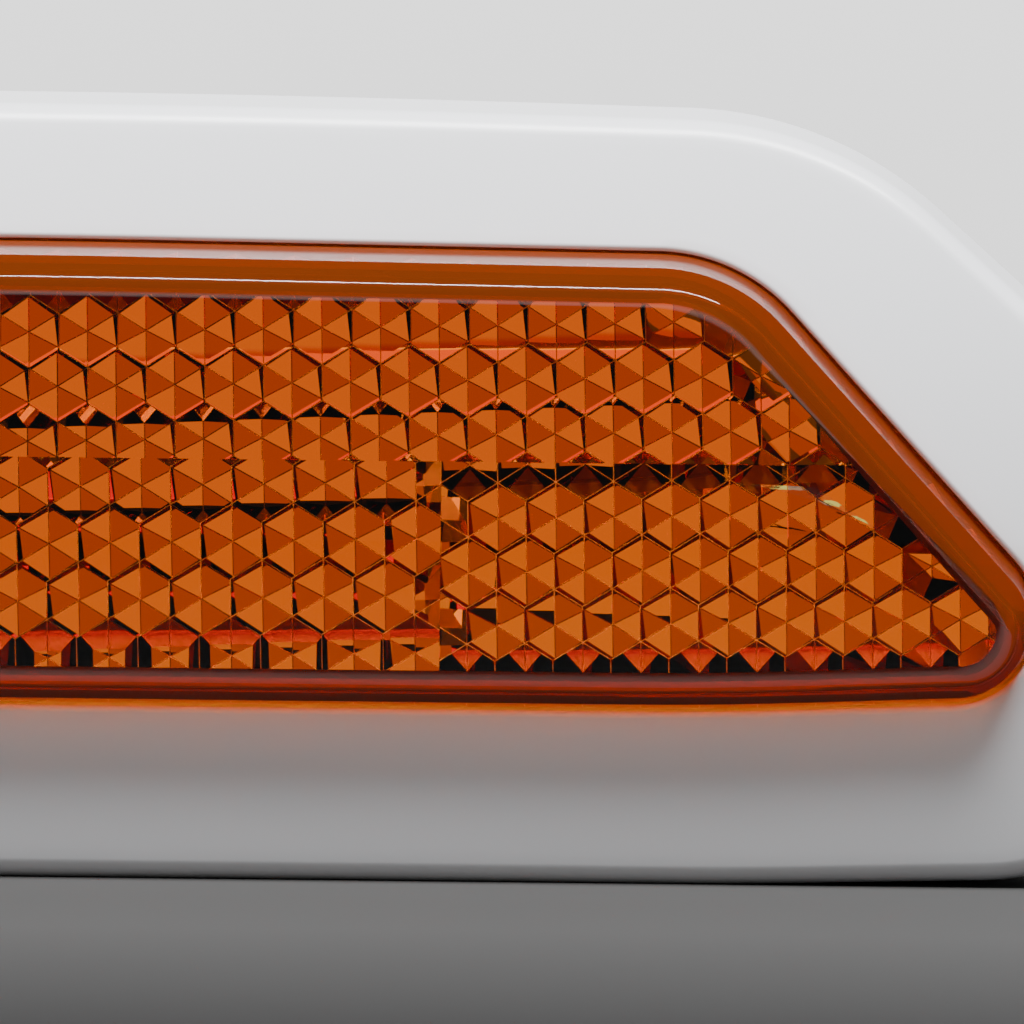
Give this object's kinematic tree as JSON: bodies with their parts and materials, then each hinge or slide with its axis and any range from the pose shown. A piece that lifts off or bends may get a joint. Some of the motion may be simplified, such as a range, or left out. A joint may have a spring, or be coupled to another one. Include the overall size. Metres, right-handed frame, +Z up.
{
  "type": "side marker lamp",
  "caption": "Side marker lamp: white bezel with a slanted end, amber lens with reflex pins, wedge bulb in a twist-in holder, fixed from behind the panel.",
  "frame": {"origin": "middle of the two fixing holes, on the plane of the bezel's rear rim that seats on the panel", "axes": "+X along the lamp towards the slanted end, +Y into the panel, +Z up; the lens faces -Y"},
  "size_m": [0.1137, 0.047, 0.0351],
  "materials": {
    "white_plastic": "white moulded plastic, satin gloss",
    "amber_lens": "clear amber acrylic, polished",
    "seal_rubber": "black rubber",
    "grey_plastic": "dark grey moulded plastic",
    "bright_plating": "bright metallised plastic",
    "clear_glass": "clear blown glass",
    "lamp_wire": "bare wire",
    "black_plastic": "black moulded plastic",
    "contact_brass": "bare brass",
    "seal_foam": "closed-cell foam",
    "zinc_steel": "zinc-plated steel"
  },
  "bodies": {
    "root": {"bezel": "white_plastic", "lens": "amber_lens", "lens_seal": "seal_rubber", "lamp_body": "grey_plastic", "reflector": "bright_plating", "bulb_glass": "clear_glass", "bulb_filament": "lamp_wire", "bulb_lead_wires": "lamp_wire", "bulb_holder": "black_plastic", "holder_seal": "seal_rubber", "contact_positive": "contact_brass", "contact_ground": "contact_brass", "vent_cap": "seal_rubber", "panel_seal": "seal_foam", "threaded_insert_left": "contact_brass", "threaded_insert_right": "contact_brass", "case_screw_upper_left": "zinc_steel", "case_screw_lower_left": "zinc_steel", "case_screw_upper_right": "zinc_steel", "case_screw_lower_right": "zinc_steel"}
  },
  "joints": []
}
